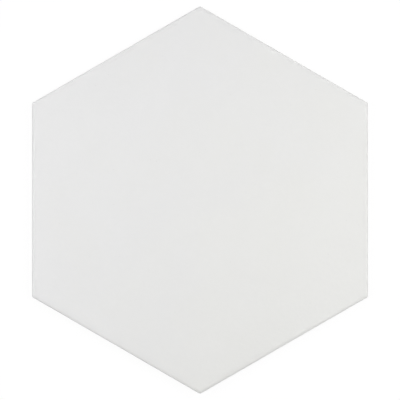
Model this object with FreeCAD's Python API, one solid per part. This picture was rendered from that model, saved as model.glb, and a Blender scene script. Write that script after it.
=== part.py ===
import FreeCAD, Part
import os
from math import cos, pi, radians, sin, tan

# A plain hexagonal floor tile, pressed and fired as one piece of porcelain.
# It lies face up with its bed on z = 0, one corner pointing to +Y and one
# straight edge to +X. Sizes are in millimetres and angles in degrees.

# The whole tile
across_flats = 220.0       # over the upright band of two opposite edges
thickness = 9.0            # from the bed to the face

# The edge, from the face down
arris_radius = 1.5         # soft pressed arris round the face
corner_ease = 0.1          # by which the corners in plan are rounder than the arris
land_foot = 5.0            # height above the bed where the upright band ends
edge_draft = 7.0           # lean of the edge below that band, from upright
bed_chamfer = 0.8          # broken edge round the bed

# The honeycomb key pressed into the bed
rim_width = 6.5            # plain bed between the edge and the outermost cells
cell_rings = 4             # rings of cells round the middle one
rib_width = 2.6            # between the mouths of two cells
cell_depth = 0.8
cell_draft = 30.0          # lean of a cell's walls, from upright
cell_floor_corner = 2.2    # in plan, at the six corners of a cell's floor

tolerance = 1e-6           # on a height, when edges are picked by it

corner_angle = pi / 6      # half the turn of the outline at each corner
vector = FreeCAD.Vector


def rounded_hexagon(apothem, corner, first_corner, z):
    """A closed hexagon at height z. Its first corner points along the angle
    first_corner, and all six are rounded in plan."""
    to_centre = (apothem - corner) / cos(corner_angle)
    arcs = []
    for k in range(6):
        turn = radians(first_corner + 60 * k)
        centre = vector(to_centre * cos(turn), to_centre * sin(turn), z)
        arcs.append([
            centre + vector(cos(turn + part), sin(turn + part), 0) * corner
            for part in (-corner_angle, 0, corner_angle)
        ])
    edges = []
    for arc, following in zip(arcs, arcs[1:] + arcs[:1]):
        edges.append(Part.Arc(*arc).toShape())
        edges.append(Part.LineSegment(arc[2], following[0]).toShape())
    return Part.Wire(edges)


def corner_radius():
    """In plan, at the tile's six corners, from the bed up to the arris. The
    arris rolls round them, so they are a little rounder than it is."""
    return arris_radius + corner_ease


def tile_outline(inset, z):
    """The tile's outline at height z, moved in from the upright band."""
    return rounded_hexagon(across_flats / 2 - inset, corner_radius(), 30, z)


def draft_inset():
    """How far the edge leans in between the upright band and the chamfer."""
    return (land_foot - bed_chamfer) * tan(radians(edge_draft))


def bed_inset():
    """How far the bed's outline lies inside the upright band."""
    return draft_inset() + bed_chamfer


def cell_lean(height):
    """How far a cell's wall leans in over that height."""
    return height * tan(radians(cell_draft))


def cell_pitch():
    """From one cell to the next, so that the rings of cells fill the bed up
    to the rim. The outermost cells touch the rim with their round corners."""
    corner = cell_floor_corner + cell_lean(cell_depth)
    reach = across_flats / 2 - bed_inset() - rim_width
    to_fill = reach - corner + (rib_width / 2 + corner) / cos(corner_angle)
    return to_fill / (cell_rings * cos(corner_angle) + 0.5 / cos(corner_angle))


def cell_outline(z):
    """A cell's outline at height z: smaller the deeper it lies in the bed. It
    is turned so that its flats face the tile's corners."""
    mouth = (cell_pitch() - rib_width) / 2
    corner = cell_floor_corner + cell_lean(cell_depth - z)
    return rounded_hexagon(mouth - cell_lean(z), corner, 0, z)


def edges_at(shape, z):
    """The edges that lie wholly at height z."""
    return [
        edge for edge in shape.Edges
        if all(abs(corner.Z - z) < tolerance for corner in edge.Vertexes)
    ]


def make_blank():
    """The tile with a plain bed: the chamfer, the leaning part of the edge,
    the upright band and the soft arris round the face."""
    bed = tile_outline(bed_inset(), 0)
    chamfer_top = tile_outline(draft_inset(), bed_chamfer)
    band_foot = tile_outline(0, land_foot)
    chamfer = Part.makeLoft([bed, chamfer_top], True, True)
    leaning = Part.makeLoft([chamfer_top, band_foot], True, True)
    upright = Part.Face(band_foot).extrude(vector(0, 0, thickness - land_foot))
    blank = chamfer.fuse([leaning, upright]).removeSplitter()
    return blank.makeFillet(arris_radius, edges_at(blank, thickness))


def make_cell_tool():
    """What one cell takes out of the bed: drafted walls and a flat floor. It
    stands out below the bed as far as it reaches in, so that it cuts clean."""
    outlines = [cell_outline(-cell_depth), cell_outline(cell_depth)]
    return Part.makeLoft(outlines, True, True)


def cell_centres():
    """Centres of the cells, row by row: a hexagonal grid whose rings follow
    the tile's own outline."""
    row_step = cell_pitch() * cos(corner_angle)
    centres = []
    for row in range(-cell_rings, cell_rings + 1):
        in_row = 2 * cell_rings + 1 - abs(row)
        for k in range(in_row):
            along = (k - (in_row - 1) / 2) * cell_pitch()
            centres.append(vector(row * row_step, along, 0))
    return centres


def make_tile():
    """The finished tile: the blank with the honeycomb cut into its bed."""
    tool = make_cell_tool()
    cells = [tool.translated(centre) for centre in cell_centres()]
    return make_blank().cut(cells)


def main():
    os.makedirs("parts", exist_ok=True)
    tile = make_tile()
    tile.exportStep("parts/hexagon_tile.step")
    print("cells", len(cell_centres()), "pitch", round(cell_pitch(), 3))
    print("solids", len(tile.Solids), "valid", tile.isValid())
    print("faces", len(tile.Faces), "volume cm3", round(tile.Volume / 1000, 2))


main()
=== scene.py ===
import bmesh
import bpy
from math import atan, cos, pi, radians, sin, sqrt, tan
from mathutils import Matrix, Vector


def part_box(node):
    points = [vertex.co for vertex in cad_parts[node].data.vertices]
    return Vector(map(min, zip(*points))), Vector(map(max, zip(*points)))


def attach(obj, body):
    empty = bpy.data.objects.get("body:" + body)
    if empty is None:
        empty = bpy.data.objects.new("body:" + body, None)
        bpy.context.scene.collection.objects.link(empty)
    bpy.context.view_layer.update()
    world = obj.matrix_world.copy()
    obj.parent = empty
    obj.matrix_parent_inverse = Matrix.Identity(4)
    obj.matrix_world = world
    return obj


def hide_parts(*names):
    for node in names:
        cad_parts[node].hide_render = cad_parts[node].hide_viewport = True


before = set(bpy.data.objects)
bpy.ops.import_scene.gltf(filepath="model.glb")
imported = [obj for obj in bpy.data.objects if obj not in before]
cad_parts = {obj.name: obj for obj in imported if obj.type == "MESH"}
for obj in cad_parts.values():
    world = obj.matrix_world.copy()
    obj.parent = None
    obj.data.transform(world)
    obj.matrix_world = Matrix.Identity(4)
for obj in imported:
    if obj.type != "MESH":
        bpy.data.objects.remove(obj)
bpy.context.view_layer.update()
low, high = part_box("hexagon_tile")
print("frame loaded, tile box in mm", [round(1000 * (b - a), 3) for a, b in zip(low, high)])

# sizes are in metres and scales in waves a metre
weldDistance = 1e-6              # points nearer than this are one
heightSlack = 1e-5               # on a height, when faces are picked by it


# helpers for building node trees

def feed(tree, socket, value):
    if isinstance(value, bpy.types.NodeSocket):
        tree.links.new(value, socket)
    else:
        socket.default_value = value


def addNode(tree, kind, inputs=None, **settings):
    node = tree.nodes.new(kind)
    for name, value in settings.items():
        setattr(node, name, value)
    for name, value in (inputs or {}).items():
        feed(tree, node.inputs[name], value)
    return node


def calc(tree, operation, *values):
    return addNode(tree, "ShaderNodeMath", dict(enumerate(values)), operation=operation).outputs[0]


def joinXyz(tree, x=0.0, y=0.0, z=0.0):
    return addNode(tree, "ShaderNodeCombineXYZ", {"X": x, "Y": y, "Z": z}).outputs[0]


def splitXyz(tree, vector):
    return addNode(tree, "ShaderNodeSeparateXYZ", {"Vector": vector}).outputs


def newTree(name, kind, inputs, outputs):
    tree = bpy.data.node_groups.new(name, kind)
    for label, socketType in inputs.items():
        tree.interface.new_socket(label, in_out="INPUT", socket_type="NodeSocket" + socketType)
    for label, socketType in outputs.items():
        tree.interface.new_socket(label, in_out="OUTPUT", socket_type="NodeSocket" + socketType)
    given = tree.nodes.new("NodeGroupInput").outputs
    result = tree.nodes.new("NodeGroupOutput").inputs
    return tree, given, result


def useGroup(tree, group, inputs):
    family = "Geometry" if group.bl_idname == "GeometryNodeTree" else "Shader"
    node = tree.nodes.new(family + "NodeGroup")
    node.node_tree = group
    for name, value in inputs.items():
        feed(tree, node.inputs[name], value)
    return node


def pointPlace(tree):
    return tree.nodes.new("GeometryNodeInputPosition").outputs[0]


def pointIndex(tree):
    return tree.nodes.new("GeometryNodeInputIndex").outputs[0]


def joinMeshes(tree, *parts):
    joined = tree.nodes.new("GeometryNodeJoinGeometry")
    for part in parts:
        tree.links.new(part, joined.inputs[0])
    return joined.outputs[0]


def weld(tree, mesh):
    return addNode(tree, "GeometryNodeMergeByDistance", {
        "Geometry": mesh, "Distance": weldDistance,
    }).outputs[0]


def movePoints(tree, mesh, **inputs):
    return addNode(tree, "GeometryNodeSetPosition", {"Geometry": mesh, **inputs}).outputs[0]


# sweeps a section round a hexagon: straight sides in equal steps, with an arc at each corner
# the section's x is outwards and its y downwards
# down to the depth of Even Below the corners are sharper the further in the section lies, and past it
# they all have the same radius
def makeSweepGroup():
    tree, given, result = newTree("sweptHexagon", "GeometryNodeTree", {
        "Section": "Geometry", "Apothem": "Float", "Corner Radius": "Float", "Even Below": "Float",
        "Side Steps": "Int", "Corner Steps": "Int", "First Corner": "Float", "Height": "Float",
    }, {"Mesh": "Geometry", "On Last Ring": "Bool"})
    ringCount = addNode(tree, "GeometryNodeAttributeDomainSize", {
        "Geometry": given["Section"],
    }, component="CURVE").outputs["Point Count"]
    perSide = calc(tree, "ADD", given["Side Steps"], given["Corner Steps"])
    grid = addNode(tree, "GeometryNodeMeshGrid", {
        "Vertices X": calc(tree, "MULTIPLY_ADD", perSide, 6.0, 1.0), "Vertices Y": ringCount,
    })
    index = pointIndex(tree)
    column = calc(tree, "FLOOR", calc(tree, "DIVIDE", calc(tree, "ADD", index, 0.5), ringCount))
    ring = calc(tree, "SUBTRACT", index, calc(tree, "MULTIPLY", column, ringCount))
    spot = splitXyz(tree, addNode(tree, "GeometryNodeSampleIndex", {
        "Geometry": given["Section"], "Value": pointPlace(tree), "Index": ring,
    }, data_type="FLOAT_VECTOR", domain="POINT").outputs[0])
    side = calc(tree, "FLOOR", calc(tree, "DIVIDE", calc(tree, "ADD", column, 0.5), perSide))
    step = calc(tree, "SUBTRACT", column, calc(tree, "MULTIPLY", side, perSide))
    along = calc(tree, "DIVIDE", calc(tree, "MINIMUM", step, given["Side Steps"]), given["Side Steps"])
    past = calc(tree, "MAXIMUM", calc(tree, "SUBTRACT", step, given["Side Steps"]), 0.0)
    bend = calc(tree, "MULTIPLY", calc(tree, "DIVIDE", past, given["Corner Steps"]), pi / 3)
    sharper = calc(tree, "MULTIPLY", spot[0], calc(tree, "LESS_THAN", spot[1], given["Even Below"]))
    radius = calc(tree, "MAXIMUM", calc(tree, "ADD", sharper, given["Corner Radius"]), 0.0)
    toCentre = calc(tree, "SUBTRACT", calc(tree, "ADD", given["Apothem"], spot[0]), radius)
    sideLength = calc(tree, "MULTIPLY", toCentre, 2 * tan(pi / 6))
    outwards = calc(tree, "MULTIPLY_ADD", radius, calc(tree, "COSINE", bend), toCentre)
    sideways = calc(tree, "MULTIPLY_ADD", radius, calc(tree, "SINE", bend),
                    calc(tree, "MULTIPLY", sideLength, calc(tree, "SUBTRACT", along, 0.5)))
    upwards = calc(tree, "SUBTRACT", given["Height"], spot[1])
    turn = calc(tree, "ADD", calc(tree, "ADD", given["First Corner"], pi / 6),
                calc(tree, "MULTIPLY", side, pi / 3))
    place = addNode(tree, "ShaderNodeVectorRotate", {
        "Vector": joinXyz(tree, outwards, sideways, upwards), "Angle": turn,
    }, rotation_type="Z_AXIS").outputs[0]
    lastRing = calc(tree, "SUBTRACT", ringCount, 1.5)
    feed(tree, result["Mesh"], movePoints(tree, grid.outputs[0], Position=place))
    feed(tree, result["On Last Ring"], calc(tree, "GREATER_THAN", ring, lastRing))
    return tree


# a flat hexagon of three rhombic grids that meet at its centre, with the same steps on its sides
def makePlateGroup():
    tree, given, result = newTree("hexagonPlate", "GeometryNodeTree", {
        "Apothem": "Float", "Side Steps": "Int", "First Corner": "Float", "Height": "Float",
    }, {"Mesh": "Geometry"})
    points = calc(tree, "ADD", given["Side Steps"], 1.0)
    grid = addNode(tree, "GeometryNodeMeshGrid", {
        "Size X": 1.0, "Size Y": 1.0, "Vertices X": points, "Vertices Y": points,
    })
    spot = splitXyz(tree, pointPlace(tree))
    first = calc(tree, "ADD", spot[0], 0.5)
    second = calc(tree, "ADD", spot[1], 0.5)
    reach = calc(tree, "DIVIDE", given["Apothem"], cos(pi / 6))
    x = calc(tree, "MULTIPLY", reach, calc(tree, "MULTIPLY_ADD", second, -0.5, first))
    y = calc(tree, "MULTIPLY", reach, calc(tree, "MULTIPLY", second, sqrt(3) / 2))
    rhombus = movePoints(tree, grid.outputs[0], Position=joinXyz(tree, x, y, given["Height"]))
    thirds = []
    for third in range(3):
        turn = calc(tree, "ADD", given["First Corner"], third * 2 * pi / 3)
        thirds.append(addNode(tree, "GeometryNodeTransform", {
            "Geometry": rhombus, "Rotation": joinXyz(tree, z=turn),
        }).outputs[0])
    feed(tree, result["Mesh"], weld(tree, joinMeshes(tree, *thirds)))
    return tree


# a section as a curve: its corners in order, each with its own rounding
# a corner is (outwards, downwards, rounding), each a number or a socket
def addSection(tree, corners, roundingSteps):
    line = tree.nodes.new("GeometryNodeCurvePrimitiveLine")
    base = addNode(tree, "GeometryNodeResampleCurve", {"Curve": line.outputs[0], "Count": len(corners)})
    index = pointIndex(tree)
    places = addNode(tree, "GeometryNodeIndexSwitch", data_type="VECTOR")
    roundings = addNode(tree, "GeometryNodeIndexSwitch", data_type="FLOAT")
    for switch in (places, roundings):
        while len(switch.index_switch_items) < len(corners):
            switch.index_switch_items.new()
        feed(tree, switch.inputs[0], index)
    for k, (outwards, downwards, rounding) in enumerate(corners):
        feed(tree, places.inputs[k + 1], joinXyz(tree, outwards, downwards))
        feed(tree, roundings.inputs[k + 1], rounding)
    return addNode(tree, "GeometryNodeFilletCurve", {
        "Curve": movePoints(tree, base.outputs[0], Position=places.outputs[0]),
        "Count": roundingSteps, "Radius": roundings.outputs[0],
    }, mode="POLY").outputs[0]


# the open loops of a mesh that lie on the floor
def loopsOnFloor(tree, mesh):
    neighbours = tree.nodes.new("GeometryNodeInputMeshEdgeNeighbors").outputs[0]
    isOpen = addNode(tree, "FunctionNodeCompare", {
        2: neighbours, 3: 1,
    }, data_type="INT", operation="EQUAL").outputs[0]
    onFloor = calc(tree, "LESS_THAN", splitXyz(tree, pointPlace(tree))[2], weldDistance)
    return addNode(tree, "GeometryNodeMeshToCurve", {
        "Mesh": mesh, "Selection": calc(tree, "MULTIPLY", isOpen, onFloor),
    }).outputs[0]


# one cell of the key with its share of the ribs, up to the hexagon that it shares with its neighbours
def makeCellGroup(sweepGroup, plateGroup):
    tree, given, result = newTree("honeycombCell", "GeometryNodeTree", {
        "Pitch": "Float", "Rib Width": "Float", "Depth": "Float", "Wall Lean": "Float",
        "Mouth Corner": "Float", "Lip Rounding": "Float", "Foot Rounding": "Float",
        "Side Steps": "Int", "Corner Steps": "Int", "Rounding Steps": "Int",
    }, {"Mesh": "Geometry"})
    halfPitch = calc(tree, "MULTIPLY", given["Pitch"], 0.5)
    halfRib = calc(tree, "MULTIPLY", given["Rib Width"], 0.5)
    mouth = calc(tree, "SUBTRACT", halfPitch, halfRib)
    up = calc(tree, "MULTIPLY", given["Depth"], -1.0)
    section = addSection(tree, [
        (calc(tree, "MULTIPLY", given["Mouth Corner"], -1.0), up, 0.0),
        (calc(tree, "MULTIPLY", given["Wall Lean"], -1.0), up, given["Foot Rounding"]),
        (0.0, 0.0, given["Lip Rounding"]),
        (halfRib, 0.0, 0.0),
    ], given["Rounding Steps"])
    # no cell is as deep as the pitch, so its corners are sharper further in all the way
    swept = useGroup(tree, sweepGroup, {
        "Section": section, "Apothem": mouth, "Corner Radius": given["Mouth Corner"],
        "Even Below": given["Pitch"], "Side Steps": given["Side Steps"],
        "Corner Steps": given["Corner Steps"], "First Corner": 0.0, "Height": 0.0,
    }).outputs
    # the outermost ring goes out to the sharp hexagon, so that cells join point to point
    spot = splitXyz(tree, pointPlace(tree))
    angle = calc(tree, "ARCTAN2", spot[1], spot[0])
    fromNormal = calc(tree, "SUBTRACT", calc(tree, "FLOORED_MODULO", angle, pi / 3), pi / 6)
    reach = calc(tree, "DIVIDE", halfPitch, calc(tree, "COSINE", fromNormal))
    onHexagon = joinXyz(tree, calc(tree, "MULTIPLY", reach, calc(tree, "COSINE", angle)),
                        calc(tree, "MULTIPLY", reach, calc(tree, "SINE", angle)), 0.0)
    wall = movePoints(tree, swept["Mesh"], Selection=swept["On Last Ring"], Position=onHexagon)
    floor = useGroup(tree, plateGroup, {
        "Apothem": calc(tree, "SUBTRACT", mouth, given["Mouth Corner"]),
        "Side Steps": given["Side Steps"], "First Corner": 0.0, "Height": given["Depth"],
    }).outputs[0]
    feed(tree, result["Mesh"], joinMeshes(tree, wall, floor))
    return tree


# centres of the cells: a slanted grid of points, cut to the hexagon of that many rings
def addCellCentres(tree, pitch, rings):
    points = calc(tree, "MULTIPLY_ADD", rings, 2.0, 1.0)
    grid = addNode(tree, "GeometryNodeMeshGrid", {
        "Size X": calc(tree, "MULTIPLY", rings, 2.0), "Size Y": calc(tree, "MULTIPLY", rings, 2.0),
        "Vertices X": points, "Vertices Y": points,
    })
    spot = splitXyz(tree, pointPlace(tree))
    diagonal = calc(tree, "ABSOLUTE", calc(tree, "ADD", spot[0], spot[1]))
    outside = calc(tree, "GREATER_THAN", diagonal, calc(tree, "ADD", rings, 0.5))
    kept = addNode(tree, "GeometryNodeDeleteGeometry", {
        "Geometry": grid.outputs[0], "Selection": outside,
    }, domain="POINT").outputs[0]
    x = calc(tree, "MULTIPLY", calc(tree, "MULTIPLY", spot[0], pitch), cos(pi / 6))
    y = calc(tree, "MULTIPLY", calc(tree, "MULTIPLY_ADD", spot[0], 0.5, spot[1]), pitch)
    return movePoints(tree, kept, Position=joinXyz(tree, x, y))


def makeTileGroup(sweepGroup, plateGroup, cellGroup):
    tree, given, result = newTree("pressedTile", "GeometryNodeTree", {
        "Across Flats": "Float", "Thickness": "Float", "Corner Radius": "Float", "Even Below": "Float",
        "Bevel Width": "Float", "Bevel Depth": "Float", "Face Rounding": "Float", "Nose Rounding": "Float",
        "Face Start": "Float", "Land Foot": "Float", "Land Rounding": "Float", "Draft Inset": "Float",
        "Bed Chamfer": "Float", "Chamfer Rounding": "Float", "Cell Pitch": "Float", "Cell Rings": "Int",
        "Rib Width": "Float", "Cell Depth": "Float", "Cell Wall Lean": "Float", "Cell Corner": "Float",
        "Lip Rounding": "Float", "Foot Rounding": "Float", "Side Steps": "Int", "Corner Steps": "Int",
        "Rounding Steps": "Int", "Cell Side Steps": "Int", "Cell Corner Steps": "Int",
        "Cell Rounding Steps": "Int", "Face Ripple": "Float", "Ripple Size": "Float", "Seed": "Int",
        "Glaze Depth": "Float", "Face Glaze": "Material", "Edge Finish": "Material",
        "Bed Finish": "Material",
    }, {"Geometry": "Geometry"})
    thickness = given["Thickness"]
    apothem = calc(tree, "MULTIPLY", given["Across Flats"], 0.5)
    minusStart = calc(tree, "MULTIPLY", given["Face Start"], -1.0)
    minusBevel = calc(tree, "MULTIPLY", given["Bevel Width"], -1.0)
    draft = calc(tree, "MULTIPLY", given["Draft Inset"], -1.0)
    bedEdge = calc(tree, "SUBTRACT", draft, given["Bed Chamfer"])

    # the edge, from the face over the soft bevel and down to the bed
    section = addSection(tree, [
        (minusStart, 0.0, 0.0),
        (minusBevel, 0.0, given["Face Rounding"]),
        (0.0, given["Bevel Depth"], given["Nose Rounding"]),
        (0.0, calc(tree, "SUBTRACT", thickness, given["Land Foot"]), given["Land Rounding"]),
        (draft, calc(tree, "SUBTRACT", thickness, given["Bed Chamfer"]), given["Chamfer Rounding"]),
        (bedEdge, thickness, given["Chamfer Rounding"]),
        (calc(tree, "SUBTRACT", bedEdge, given["Chamfer Rounding"]), thickness, 0.0),
    ], given["Rounding Steps"])
    edge = weld(tree, useGroup(tree, sweepGroup, {
        "Section": section, "Apothem": apothem, "Corner Radius": given["Corner Radius"],
        "Even Below": given["Even Below"], "Side Steps": given["Side Steps"],
        "Corner Steps": given["Corner Steps"], "First Corner": pi / 6, "Height": thickness,
    }).outputs["Mesh"])

    # the face
    face = useGroup(tree, plateGroup, {
        "Apothem": calc(tree, "SUBTRACT", apothem, given["Face Start"]), "Side Steps": given["Side Steps"],
        "First Corner": pi / 6, "Height": thickness,
    }).outputs[0]

    # the bed: cells, and the plain rim between them and the edge
    cell = useGroup(tree, cellGroup, {
        "Pitch": given["Cell Pitch"], "Rib Width": given["Rib Width"], "Depth": given["Cell Depth"],
        "Wall Lean": given["Cell Wall Lean"], "Mouth Corner": given["Cell Corner"],
        "Lip Rounding": given["Lip Rounding"], "Foot Rounding": given["Foot Rounding"],
        "Side Steps": given["Cell Side Steps"], "Corner Steps": given["Cell Corner Steps"],
        "Rounding Steps": given["Cell Rounding Steps"],
    }).outputs[0]
    placed = addNode(tree, "GeometryNodeInstanceOnPoints", {
        "Points": addCellCentres(tree, given["Cell Pitch"], given["Cell Rings"]), "Instance": cell,
    })
    cells = addNode(tree, "GeometryNodeRealizeInstances", {"Geometry": placed.outputs[0]})
    key = weld(tree, cells.outputs[0])
    loops = joinMeshes(tree, loopsOnFloor(tree, edge), loopsOnFloor(tree, key))
    rim = addNode(tree, "GeometryNodeFillCurve", {"Curve": loops}, mode="TRIANGLES").outputs[0]
    closed = weld(tree, joinMeshes(tree, edge, face, key, rim))

    # the face is never quite flat: a ripple that only goes inwards and fades out down the bevel
    place = pointPlace(tree)
    heightNow = splitXyz(tree, place)[2]
    topShare = addNode(tree, "ShaderNodeMapRange", {
        0: heightNow, 1: calc(tree, "SUBTRACT", thickness, given["Bevel Depth"]), 2: thickness,
        3: 0.0, 4: 1.0,
    }, interpolation_type="SMOOTHSTEP").outputs[0]
    farApart = 7.31              # in the noise, so that the ripples of two seeds have nothing in common
    ripple = addNode(tree, "ShaderNodeTexNoise", {
        "Vector": place, "W": calc(tree, "MULTIPLY", given["Seed"], farApart),
        "Scale": calc(tree, "DIVIDE", 1.0, given["Ripple Size"]), "Detail": 1.5, "Roughness": 0.4,
    }, noise_dimensions="4D").outputs["Fac"]
    dip = calc(tree, "MULTIPLY", calc(tree, "MULTIPLY", ripple, topShare),
               calc(tree, "MULTIPLY", given["Face Ripple"], -1.0))
    rippled = movePoints(tree, closed, Offset=joinXyz(tree, z=dip))
    smooth = addNode(tree, "GeometryNodeSetShadeSmooth", {"Geometry": rippled, "Shade Smooth": True})

    # finishes: glaze over all, then the edge below Glaze Depth, then everything at the bed
    whole = addNode(tree, "GeometryNodeRealizeInstances", {"Geometry": smooth.outputs[0]})
    glazed = addNode(tree, "GeometryNodeSetMaterial", {
        "Geometry": whole.outputs[0], "Material": given["Face Glaze"],
    })
    edged = addNode(tree, "GeometryNodeSetMaterial", {
        "Geometry": glazed.outputs[0], "Material": given["Edge Finish"],
        "Selection": calc(tree, "LESS_THAN", heightNow,
                          calc(tree, "SUBTRACT", thickness, given["Glaze Depth"])),
    })
    bedded = addNode(tree, "GeometryNodeSetMaterial", {
        "Geometry": edged.outputs[0], "Material": given["Bed Finish"],
        "Selection": calc(tree, "LESS_THAN", heightNow,
                          calc(tree, "ADD", given["Bed Chamfer"], heightSlack)),
    })
    feed(tree, result["Geometry"], bedded.outputs[0])
    return tree


# materials

mostOfNoise = (0.3, 0.7)         # where most of a noise's values lie

glaze = {
    "neutral": (0.803, 0.803, 0.803, 1.0),
    "warm": (0.803, 0.803, 0.785, 1.0),
    "warmAcross": 5.4,           # how fast the white turns warm towards +X and +Y
    "warmUp": -3.1,
    "warmStray": 1.2,            # how far that wanders
    "strayScale": 26.0,
    "cloudScale": 18.0,
    "cloudDepth": 0.055,         # depths are shares of the brightness
    "mottleScale": 240.0,
    "mottleDepth": 0.016,
    "roughness": (0.54, 0.62),
    "pinholeScale": 250.0,
    "pinholePick": (0.80, 0.82),      # a grain has one where its random number is past this
    "pinholeRim": (0.07, 0.035),      # from its middle, where it begins and where it is full, in grains
    # the pinholes' pits are painted darker by this share, as painted shade
    "pinholeShade": 0.12,
    "pinholeSink": -0.3,         # beside the eggshell's own height of 1
    "eggshellScale": 1800.0,
    "swellScale": 330.0,
    "swellShare": 0.65,          # of the eggshell's height
    "relief": 0.0001,
}
bareBody = {
    "colour": (0.700, 0.675, 0.635, 1.0),
    "granuleScale": 1900.0,
    "granuleReach": 0.8,         # from its middle, in granules
    "cloudScale": 90.0,
    "roughness": (0.82, 0.92),
}
edgeFinish = {
    # painted shade between the body's granules and its own clouds of tone, as a share of its brightness
    "granuleShadeAndTone": 0.06,
    "waver": 0.0022,             # of the glaze's lower line
    "waverScale": 45.0,
    "thinsOut": (-0.00025, 0.00035),  # from below that line, where the glaze ends, to where it is full
    "glazeLip": 3.0,             # how far the glaze stands out, in granules
    "relief": 0.00002,
}
kilnWash = {
    "colour": (0.800, 0.795, 0.780, 1.0),
    "granuleShadeAndTone": 0.07,        # of the body under it: painted shade between its granules and its own clouds of tone
    "reach": 0.25,               # up the walls of the cells, as a share of their depth
    "streakStretch": (0.15, 1.0, 1.0),
    "streakScale": 260.0,
    "streakRange": (0.36, 0.58),
    "thinnest": 0.35,            # how much of it is left between the streaks
    "roughness": 0.95,
    "thickness": 1.5,            # in granules
    "relief": 0.00003,
}


def objectPlace(tree):
    return tree.nodes.new("ShaderNodeTexCoord").outputs["Object"]


def noise(tree, place, scale, detail=2.0, roughness=0.5):
    return addNode(tree, "ShaderNodeTexNoise", {
        "Vector": place, "Scale": scale, "Detail": detail, "Roughness": roughness,
    }).outputs["Fac"]


def grains(tree, place, scale):
    return addNode(tree, "ShaderNodeTexVoronoi", {"Vector": place, "Scale": scale}).outputs


def mixColour(tree, share, a, b):
    node = addNode(tree, "ShaderNodeMix", data_type="RGBA")
    for socket, value in zip((0, 6, 7), (share, a, b)):
        feed(tree, node.inputs[socket], value)
    return node.outputs[2]


def mixNumber(tree, share, a, b):
    node = addNode(tree, "ShaderNodeMix", data_type="FLOAT")
    for socket, value in zip((0, 2, 3), (share, a, b)):
        feed(tree, node.inputs[socket], value)
    return node.outputs[0]


def timesColour(tree, colour, brightness):
    return addNode(tree, "ShaderNodeVectorMath", {
        0: colour, 1: joinXyz(tree, brightness, brightness, brightness),
    }, operation="MULTIPLY").outputs[0]


def spreadOver(tree, value, fromLow, fromHigh, toLow=0.0, toHigh=1.0):
    return addNode(tree, "ShaderNodeMapRange", {
        0: value, 1: fromLow, 2: fromHigh, 3: toLow, 4: toHigh,
    }).outputs[0]


def aboutZero(tree, value):
    return calc(tree, "SUBTRACT", value, 0.5)


# matt glaze: its white warmer towards +X and −Y, faint clouds, a few pinholes with painted shade in their
# pits, and a fine eggshell surface
def makeGlazeSkin():
    tree, given, result = newTree("mattGlazeSkin", "ShaderNodeTree", {
        "Neutral": "Color", "Warm": "Color", "Cloud Depth": "Float", "Mottle Depth": "Float",
        "Pinhole Shade": "Float",
    }, {"Colour": "Color", "Roughness": "Float", "Height": "Float"})
    place = objectPlace(tree)
    spot = splitXyz(tree, place)
    # warmer towards +X and −Y across the face, then wandering at random
    warmthSlope = calc(tree, "ADD", calc(tree, "MULTIPLY", spot[0], glaze["warmAcross"]),
                 calc(tree, "MULTIPLY", spot[1], glaze["warmUp"]))
    stray = aboutZero(tree, noise(tree, place, glaze["strayScale"]))
    warmth = calc(tree, "MULTIPLY_ADD", stray, glaze["warmStray"], warmthSlope)
    tone = mixColour(tree, spreadOver(tree, warmth, -0.5, 0.5), given["Neutral"], given["Warm"])
    grain = grains(tree, place, glaze["pinholeScale"])
    picked = spreadOver(tree, splitXyz(tree, grain["Color"])[0], *glaze["pinholePick"])
    pinhole = calc(tree, "MULTIPLY", picked, spreadOver(tree, grain["Distance"], *glaze["pinholeRim"]))
    # painted shade: each pinhole's pit painted darker by that share
    pitShade = calc(tree, "MULTIPLY", given["Pinhole Shade"], -1.0)
    pitShaded = calc(tree, "MULTIPLY_ADD", pinhole, pitShade, 1.0)
    mottle = noise(tree, place, glaze["mottleScale"])
    mottled = calc(tree, "MULTIPLY_ADD", aboutZero(tree, mottle), given["Mottle Depth"], pitShaded)
    clouds = noise(tree, place, glaze["cloudScale"], detail=5.0, roughness=0.85)
    clouded = calc(tree, "MULTIPLY_ADD", aboutZero(tree, clouds), given["Cloud Depth"], mottled)
    feed(tree, result["Colour"], timesColour(tree, tone, clouded))
    feed(tree, result["Roughness"], spreadOver(tree, mottle, *mostOfNoise, *glaze["roughness"]))
    eggshell = noise(tree, place, glaze["eggshellScale"], roughness=0.6)
    swell = noise(tree, place, glaze["swellScale"], detail=1.0)
    surface = calc(tree, "MULTIPLY_ADD", eggshell, 1.0 - glaze["swellShare"],
                   calc(tree, "MULTIPLY", swell, glaze["swellShare"]))
    feed(tree, result["Height"], calc(tree, "MULTIPLY_ADD", pinhole, glaze["pinholeSink"], surface))
    return tree


# bare pressed body: granules of the spray-dried powder, still seen in the fired clay, with painted shade
# in the gaps between them and clouds of its own tone
def makeBodySkin():
    tree, given, result = newTree("pressedBodySkin", "ShaderNodeTree", {
        "Body": "Color", "Granule Shade And Tone": "Float",
    }, {"Colour": "Color", "Roughness": "Float", "Height": "Float"})
    place = objectPlace(tree)
    fromGranule = grains(tree, place, bareBody["granuleScale"])["Distance"]
    granule = spreadOver(tree, fromGranule, 0.0, bareBody["granuleReach"], 1.0, 0.0)
    clouds = noise(tree, place, bareBody["cloudScale"], detail=3.0, roughness=0.6)
    # painted shade: granule tops lighter and the gaps between them darker, beside the body's own clouds of
    # tone
    gapShadeAndTone = calc(tree, "ADD", aboutZero(tree, granule), aboutZero(tree, clouds))
    shade = calc(tree, "MULTIPLY_ADD", gapShadeAndTone, given["Granule Shade And Tone"], 1.0)
    feed(tree, result["Colour"], timesColour(tree, given["Body"], shade))
    feed(tree, result["Roughness"], spreadOver(tree, clouds, *mostOfNoise, *bareBody["roughness"]))
    feed(tree, result["Height"], granule)
    return tree


def newMaterial(name):
    material = bpy.data.materials.new(name)
    material.use_nodes = True
    tree = material.node_tree
    return material, tree, tree.nodes["Principled BSDF"]


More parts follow.
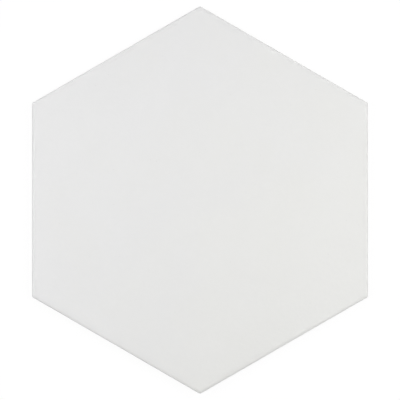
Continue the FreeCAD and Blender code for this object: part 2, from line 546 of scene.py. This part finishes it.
def placeGlaze(tree, glazeSkin):
    return useGroup(tree, glazeSkin, {
        "Neutral": glaze["neutral"], "Warm": glaze["warm"], "Cloud Depth": glaze["cloudDepth"],
        "Mottle Depth": glaze["mottleDepth"], "Pinhole Shade": glaze["pinholeShade"],
    }).outputs


def placeBody(tree, bodySkin, granuleShadeAndTone):
    return useGroup(tree, bodySkin, {
        "Body": bareBody["colour"], "Granule Shade And Tone": granuleShadeAndTone,
    }).outputs


def addBump(tree, shader, height, distance):
    bump = addNode(tree, "ShaderNodeBump", {"Height": height, "Strength": 1.0, "Distance": distance})
    feed(tree, shader.inputs["Normal"], bump.outputs[0])


def makeFaceGlaze(glazeSkin):
    material, tree, shader = newMaterial("mattWhiteGlaze")
    skin = placeGlaze(tree, glazeSkin)
    feed(tree, shader.inputs["Base Color"], skin["Colour"])
    feed(tree, shader.inputs["Roughness"], skin["Roughness"])
    addBump(tree, shader, skin["Height"], glaze["relief"])
    return material


def makeEdgeFinish(glazeSkin, bodySkin, glazeLine):
    material, tree, shader = newMaterial("pressedEdge")
    skin = placeGlaze(tree, glazeSkin)
    body = placeBody(tree, bodySkin, edgeFinish["granuleShadeAndTone"])
    place = objectPlace(tree)
    waver = aboutZero(tree, noise(tree, place, edgeFinish["waverScale"], detail=3.0, roughness=0.65))
    height = calc(tree, "MULTIPLY_ADD", waver, edgeFinish["waver"], splitXyz(tree, place)[2])
    covered = spreadOver(tree, height, *[glazeLine + past for past in edgeFinish["thinsOut"]])
    feed(tree, shader.inputs["Base Color"], mixColour(tree, covered, body["Colour"], skin["Colour"]))
    feed(tree, shader.inputs["Roughness"],
         mixNumber(tree, covered, body["Roughness"], skin["Roughness"]))
    surface = mixNumber(tree, covered, body["Height"], skin["Height"])
    lipped = calc(tree, "MULTIPLY_ADD", covered, edgeFinish["glazeLip"], surface)
    addBump(tree, shader, lipped, edgeFinish["relief"])
    return material


def makeBedFinish(bodySkin, cellDepth):
    material, tree, shader = newMaterial("kilnWashedBed")
    body = placeBody(tree, bodySkin, kilnWash["granuleShadeAndTone"])
    place = objectPlace(tree)
    onRibs = spreadOver(tree, splitXyz(tree, place)[2], kilnWash["reach"] * cellDepth, 0.0)
    stretched = addNode(tree, "ShaderNodeMapping", {
        "Vector": place, "Scale": kilnWash["streakStretch"],
    }).outputs[0]
    rubbed = noise(tree, stretched, kilnWash["streakScale"], detail=4.0, roughness=0.6)
    streaks = spreadOver(tree, rubbed, *kilnWash["streakRange"], kilnWash["thinnest"], 1.0)
    washed = calc(tree, "MULTIPLY", onRibs, streaks)
    feed(tree, shader.inputs["Base Color"], mixColour(tree, washed, body["Colour"], kilnWash["colour"]))
    feed(tree, shader.inputs["Roughness"],
         mixNumber(tree, washed, body["Roughness"], kilnWash["roughness"]))
    coated = calc(tree, "MULTIPLY_ADD", washed, kilnWash["thickness"], body["Height"])
    addBump(tree, shader, coated, kilnWash["relief"])
    return material


# the tile

tileShape = {
    "cornerRadius": 0.00163,     # in plan, at the six corners
    "evenBelow": 0.00225,        # depth past which the corners all have that radius
    "bevelWidth": 0.0017,        # the soft bevel round the face, before its edges are rounded
    "bevelDepth": 0.00055,
    "faceRounding": 0.0045,
    "noseRounding": 0.00115,
    "faceStart": 0.0030,         # the flat face begins this far in
    "landFoot": 0.0050,          # height of the foot of the upright land, where the glaze ends
    "landRounding": 0.0006,
    "edgeDraft": 7.0,            # lean of the edge below the land, in degrees from upright
    "bedChamfer": 0.0008,
    "chamferRounding": 0.00025,
    "sideSteps": 60,             # faces along each side, round each corner and round each edge
    "cornerSteps": 8,
    "roundingSteps": 8,
    "faceRipple": 0.00002,       # deepest dip of the face
    "rippleSize": 0.022,
    "seed": 4,
    "glazeDepth": 0.0011,        # below the face, where the edge's own finish begins
}
keyShape = {
    "rimWidth": 0.0065,          # plain bed between the edge and the outermost cells
    "rings": 4,                  # of cells round the middle one
    "ribWidth": 0.0026,          # between the mouths of two cells
    "depth": 0.0008,
    "wallDraft": 30.0,           # lean of a cell's walls, in degrees from upright
    "floorCorner": 0.0022,       # in plan, at the six corners of a cell's floor
    "lipRounding": 0.0004,
    "footRounding": 0.0004,
    "sideSteps": 4,
    "cornerSteps": 4,
    "roundingSteps": 3,
}


def draftInset():    # how far the edge leans in below the land
    return (tileShape["landFoot"] - tileShape["bedChamfer"]) * tan(radians(tileShape["edgeDraft"]))


def wallLean():    # how far a cell's wall leans in over its depth
    return keyShape["depth"] * tan(radians(keyShape["wallDraft"]))


def mouthCorner():    # in plan, at the six corners of a cell's mouth
    return keyShape["floorCorner"] + wallLean()


# from one cell to the next, so that the rings of cells fill the bed up to its rim
def cellPitch():
    toRim = (high.x - low.x) / 2 - draftInset() - tileShape["bedChamfer"] - keyShape["rimWidth"]
    toFill = toRim - mouthCorner() + (keyShape["ribWidth"] / 2 + mouthCorner()) / cos(pi / 6)
    return toFill / (keyShape["rings"] * cos(pi / 6) + 0.5 / cos(pi / 6))


def makeFinishes():
    glazeSkin, bodySkin = makeGlazeSkin(), makeBodySkin()
    finishes = {
        "Face Glaze": makeFaceGlaze(glazeSkin),
        "Edge Finish": makeEdgeFinish(glazeSkin, bodySkin, tileShape["landFoot"]),
        "Bed Finish": makeBedFinish(bodySkin, keyShape["depth"]),
    }
    print("finishes mixed:", ", ".join(material.name for material in finishes.values()))
    return finishes


def setInputs(modifier, values):
    for item in modifier.node_group.interface.items_tree:
        if item.in_out == "INPUT":
            modifier[item.identifier] = values[item.name]


def makeTile():
    sweepGroup, plateGroup = makeSweepGroup(), makePlateGroup()
    tileGroup = makeTileGroup(sweepGroup, plateGroup, makeCellGroup(sweepGroup, plateGroup))
    tile = bpy.data.objects.new("hexTile", bpy.data.meshes.new("hexTile"))
    bpy.context.scene.collection.objects.link(tile)
    modifier = tile.modifiers.new("pressedTile", "NODES")
    modifier.node_group = tileGroup
    setInputs(modifier, {
        "Across Flats": high.x - low.x, "Thickness": high.z - low.z,
        "Corner Radius": tileShape["cornerRadius"], "Even Below": tileShape["evenBelow"],
        "Bevel Width": tileShape["bevelWidth"], "Bevel Depth": tileShape["bevelDepth"],
        "Face Rounding": tileShape["faceRounding"], "Nose Rounding": tileShape["noseRounding"],
        "Face Start": tileShape["faceStart"], "Land Foot": tileShape["landFoot"],
        "Land Rounding": tileShape["landRounding"], "Draft Inset": draftInset(),
        "Bed Chamfer": tileShape["bedChamfer"], "Chamfer Rounding": tileShape["chamferRounding"],
        "Cell Pitch": cellPitch(), "Cell Rings": keyShape["rings"],
        "Rib Width": keyShape["ribWidth"], "Cell Depth": keyShape["depth"],
        "Cell Wall Lean": wallLean(), "Cell Corner": mouthCorner(),
        "Lip Rounding": keyShape["lipRounding"], "Foot Rounding": keyShape["footRounding"],
        "Side Steps": tileShape["sideSteps"], "Corner Steps": tileShape["cornerSteps"],
        "Rounding Steps": tileShape["roundingSteps"], "Cell Side Steps": keyShape["sideSteps"],
        "Cell Corner Steps": keyShape["cornerSteps"], "Cell Rounding Steps": keyShape["roundingSteps"],
        "Face Ripple": tileShape["faceRipple"], "Ripple Size": tileShape["rippleSize"],
        "Seed": tileShape["seed"], "Glaze Depth": tileShape["glazeDepth"], **makeFinishes(),
    })
    graph = bpy.context.evaluated_depsgraph_get()
    graph.update()
    mesh = bpy.data.meshes.new_from_object(tile.evaluated_get(graph), depsgraph=graph)
    tile.modifiers.remove(modifier)
    tile.data = mesh
    empty = [k for k, material in enumerate(mesh.materials) if material is None]
    for k in reversed(empty):
        mesh.materials.pop(index=k)
    shell = bmesh.new()
    shell.from_mesh(mesh)
    bmesh.ops.recalc_face_normals(shell, faces=shell.faces)
    openEdges = sum(len(edge.link_faces) != 2 for edge in shell.edges)
    shell.to_mesh(mesh)
    shell.free()
    print("tile pressed:", len(mesh.vertices), "points,", len(mesh.polygons), "faces,",
          openEdges, "open edges")
    return tile


tile = makeTile()
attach(tile, "root")
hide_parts("hexagon_tile")


# stage, light and camera

# the dome and the boxes give shares of the light on a level face, which add up to about 1
studio = {
    "dome": 0.16,
    "boxes": {      # turn from +X and height in degrees, distance, size and share of the light
        "leftBox": (180, 50, 0.76, 0.5, 0.367),
        "rightBox": (0, 50, 0.76, 0.5, 0.407),
        "farBox": (90, 45, 1.9, 0.9, 0.124),
    },
    "floorSize": 8.0,
    "floorGap": 0.00002,         # under the bed
    "floorColour": (0.80, 0.80, 0.80, 1.0),
    "shadeShare": 0.08,          # how much of the floor's white is light that the tile can shade
    "shadeReach": (0.3, 0.9),    # from the middle, where that share begins to fade and where it ends
    "shadeReturn": 0.85,         # how much of it counts as lit, and is left out of the floor's glow
}


def seenByEye(tree):
    path = tree.nodes.new("ShaderNodeLightPath").outputs
    return calc(tree, "MAXIMUM", path["Is Camera Ray"],
                calc(tree, "MAXIMUM", path["Is Glossy Ray"], path["Is Transmission Ray"]))


def makeFloor():
    floorHeight = low.z - studio["floorGap"]
    bpy.ops.mesh.primitive_plane_add(size=studio["floorSize"], location=(0, 0, floorHeight))
    floor = bpy.context.object
    floor.name = "studioFloor"
    material = bpy.data.materials.new("paleFloor")
    material.use_nodes = True
    tree = material.node_tree
    tree.nodes.clear()
    matt = addNode(tree, "ShaderNodeBsdfDiffuse", {"Color": studio["floorColour"]})
    fromMiddle = addNode(tree, "ShaderNodeVectorMath", {
        0: objectPlace(tree),
    }, operation="LENGTH").outputs["Value"]
    share = spreadOver(tree, fromMiddle, *studio["shadeReach"], studio["shadeShare"], 0.0)
    faint = addNode(tree, "ShaderNodeBsdfDiffuse", {"Color": joinXyz(tree, share, share, share)})
    rest = calc(tree, "MULTIPLY_ADD", share, -studio["shadeReturn"], 1.0)
    glow = addNode(tree, "ShaderNodeEmission", {"Strength": rest})
    white = addNode(tree, "ShaderNodeAddShader", {0: faint.outputs[0], 1: glow.outputs[0]})
    mixed = addNode(tree, "ShaderNodeMixShader", {
        0: seenByEye(tree), 1: matt.outputs[0], 2: white.outputs[0],
    })
    addNode(tree, "ShaderNodeOutputMaterial", {"Surface": mixed.outputs[0]})
    floor.data.materials.append(material)


def makeWorld():
    world = bpy.data.worlds.new("softDome")
    bpy.context.scene.world = world
    world.use_nodes = True
    tree = world.node_tree
    background = tree.nodes["Background"]
    background.inputs["Color"].default_value = (1.0, 1.0, 1.0, 1.0)
    feed(tree, background.inputs["Strength"], mixNumber(tree, seenByEye(tree), studio["dome"], 1.0))


# its energy gives that share of white on a level face in the middle, were the box small
def makeBox(name, turn, height, distance, size, share):
    lamp = bpy.data.lights.new(name, "AREA")
    lamp.shape = "SQUARE"
    lamp.size = size
    lamp.energy = share * (pi * distance) ** 2 / sin(radians(height))
    box = bpy.data.objects.new(name, lamp)
    bpy.context.scene.collection.objects.link(box)
    level, up = distance * cos(radians(height)), distance * sin(radians(height))
    box.location = (level * cos(radians(turn)), level * sin(radians(turn)), up)
    box.rotation_euler = (-box.location).to_track_quat("-Z", "Y").to_euler()
    box.visible_camera = False


# looks straight down, and sizes the tile in the picture by its widest outline
def makeCamera():
    data = bpy.data.cameras.new("overhead")
    data.lens = 100.0
    data.sensor_width = 36.0
    data.clip_end = 50.0
    camera = bpy.data.objects.new("overhead", data)
    bpy.context.scene.collection.objects.link(camera)
    tilePixels, framePixels = 335.8, 400.0   # across the flats, and the whole picture
    bevelAngle = atan(tileShape["bevelDepth"] / tileShape["bevelWidth"])
    noseReach = tileShape["noseRounding"] * tan(pi / 4 - bevelAngle / 2)
    rimHeight = high.z - tileShape["bevelDepth"] - noseReach   # the foot of the nose
    frameWidth = (high.x - low.x) * framePixels / tilePixels
    camera.location = (0.0, 0.0, rimHeight + frameWidth * data.lens / data.sensor_width)
    bpy.context.scene.camera = camera


makeFloor()
makeWorld()
for name, numbers in studio["boxes"].items():
    makeBox(name, *numbers)
makeCamera()
bpy.context.scene.view_settings.view_transform = "Standard"
print("stage, light and camera placed")
